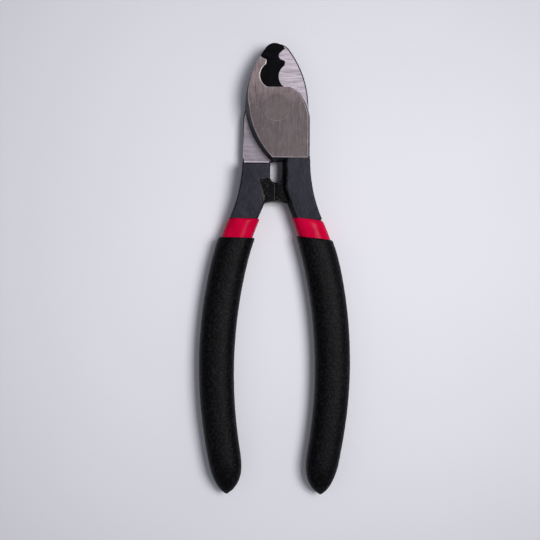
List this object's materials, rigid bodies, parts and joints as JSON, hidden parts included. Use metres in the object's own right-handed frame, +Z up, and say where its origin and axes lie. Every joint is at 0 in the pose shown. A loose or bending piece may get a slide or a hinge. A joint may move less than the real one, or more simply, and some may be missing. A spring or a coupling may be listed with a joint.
{
  "type": "hand cable cutter",
  "caption": "Hand shears for electrical cable: lapped, riveted jaws with curved cable and wire notches, stop lugs, and bowed handles in two-layer sleeves.",
  "frame": {"origin": "on the pivot axis, in the plane of the lower ground face of the head, which is also the plane the grips rest on", "axes": "+Y along the tool towards the ends of the jaws, +Z up along the pivot axis, +X towards the right-hand grip; the jaws are shut at rest"},
  "size_m": [0.0556, 0.1654, 0.012],
  "materials": {
    "forged_steel": "black coated forging with bare ground lap faces and ground outer faces",
    "rivet_steel": "ground flush with the outer faces",
    "red_sleeve": "glossy smooth inner sleeve",
    "black_grip": "finely textured matt outer sleeve"
  },
  "bodies": {
    "rear": {"rear_half": "forged_steel", "pivot_rivet": "rivet_steel", "rear_sleeve": "red_sleeve", "rear_grip": "black_grip"},
    "front": {"front_half": "forged_steel", "front_sleeve": "red_sleeve", "front_grip": "black_grip"}
  },
  "joints": [
    {"name": "pivot", "type": "hinge", "parent": "rear", "child": "front", "pos_m": [0, 0, 0.006], "axis": [0, 0, 1], "range_deg": [0, 40]}
  ]
}
